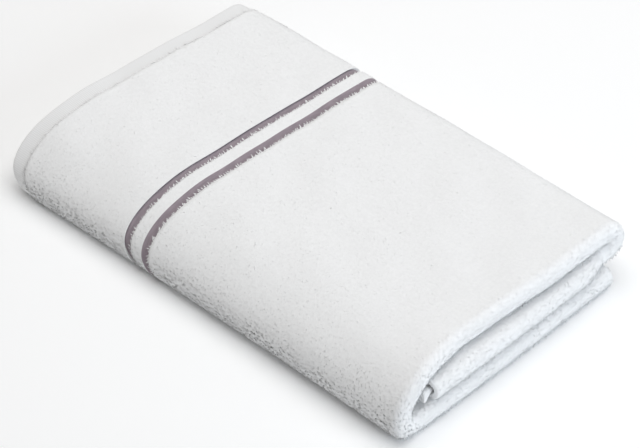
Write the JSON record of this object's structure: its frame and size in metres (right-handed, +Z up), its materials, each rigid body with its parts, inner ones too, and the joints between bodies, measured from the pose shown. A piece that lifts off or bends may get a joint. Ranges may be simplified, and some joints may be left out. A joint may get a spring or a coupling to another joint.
{
  "type": "folded hand towel",
  "caption": "White terry hand towel folded into a thick flat stack, with a flat woven hem and slim mauve woven bands across the hem end.",
  "frame": {"origin": "middle of the folded stack's box, on the surface that it lies on", "axes": "+X along the stack from the hem end to the folded end, +Y from the near roll to the far roll, +Z up"},
  "size_m": [0.2922, 0.1822, 0.0378],
  "materials": {
    "terry_cotton": "white looped cotton terry, matt, with flat woven mauve bands and a flat white hem"
  },
  "bodies": {
    "root": {"towel": "terry_cotton"}
  },
  "joints": []
}
